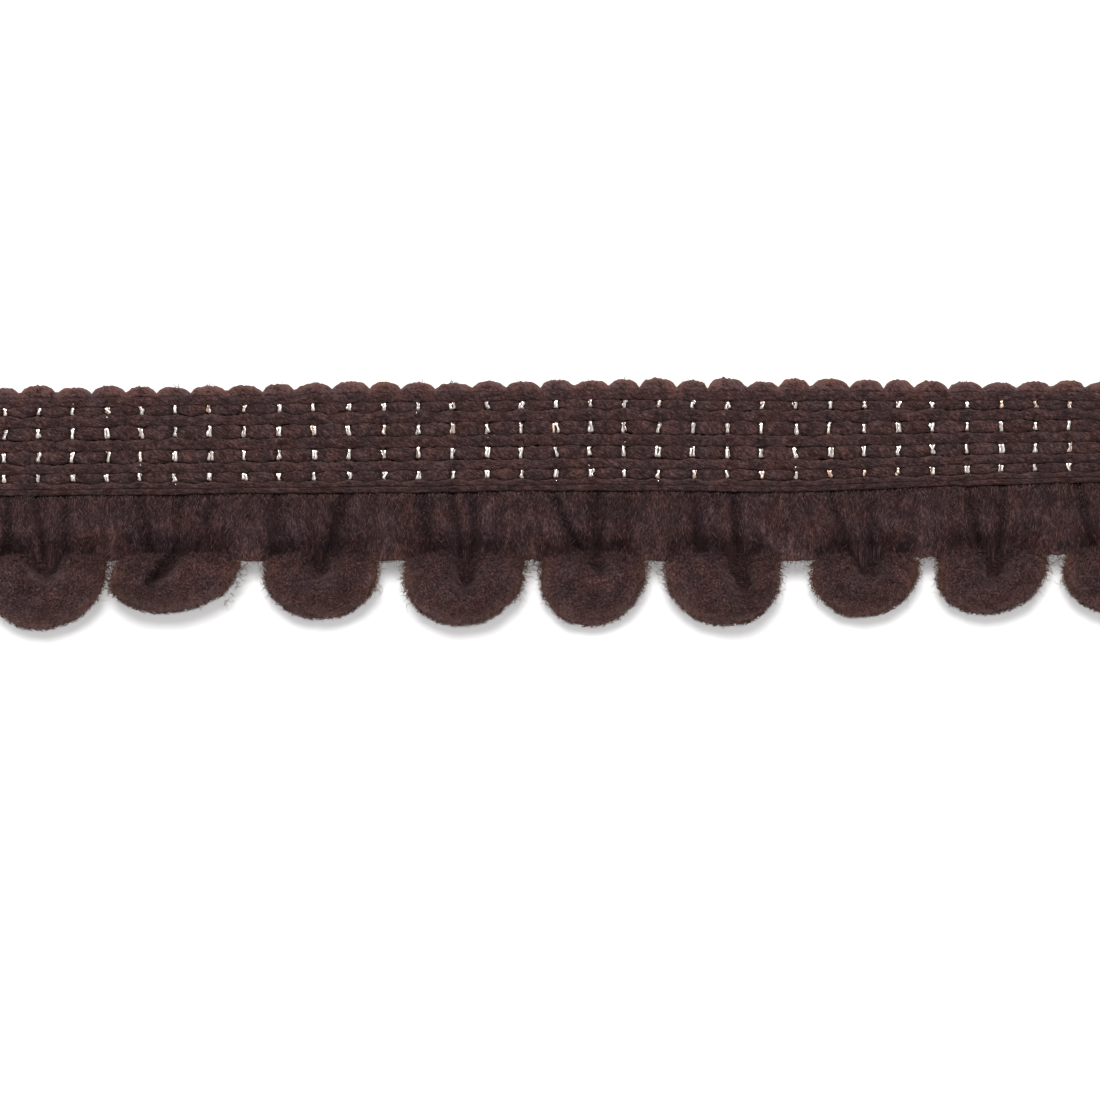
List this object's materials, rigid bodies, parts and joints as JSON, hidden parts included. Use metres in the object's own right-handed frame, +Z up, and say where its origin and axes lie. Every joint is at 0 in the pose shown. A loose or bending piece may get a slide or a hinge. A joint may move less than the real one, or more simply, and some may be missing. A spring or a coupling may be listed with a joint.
{
  "type": "pom pom trim",
  "caption": "Cut length of woven braid with a scalloped edge, a brushed skirt and a row of tied wool pompoms, lying face up.",
  "frame": {"origin": "centre of the trim's bounding box at the surface that it lies on", "axes": "+X along the trim's length, +Y across it to the scalloped edge of the heading, +Z up out of its face"},
  "size_m": [0.1238, 0.0259, 0.0079],
  "materials": {
    "braid_yarn": "thick dark brown lengthwise yarns, softly plied and matt, with bright metallic weft dashes between them",
    "skirt_wool": "dark brown brushed strands, felted together, matt",
    "pompom_wool": "dark brown brushed wool pile, short and fuzzy, matt"
  },
  "bodies": {
    "root": {"heading": "braid_yarn", "skirt": "skirt_wool", "pompom_1": "pompom_wool", "pompom_2": "pompom_wool", "pompom_3": "pompom_wool", "pompom_4": "pompom_wool", "pompom_5": "pompom_wool", "pompom_6": "pompom_wool", "pompom_7": "pompom_wool", "pompom_8": "pompom_wool", "pompom_9": "pompom_wool"}
  },
  "joints": []
}
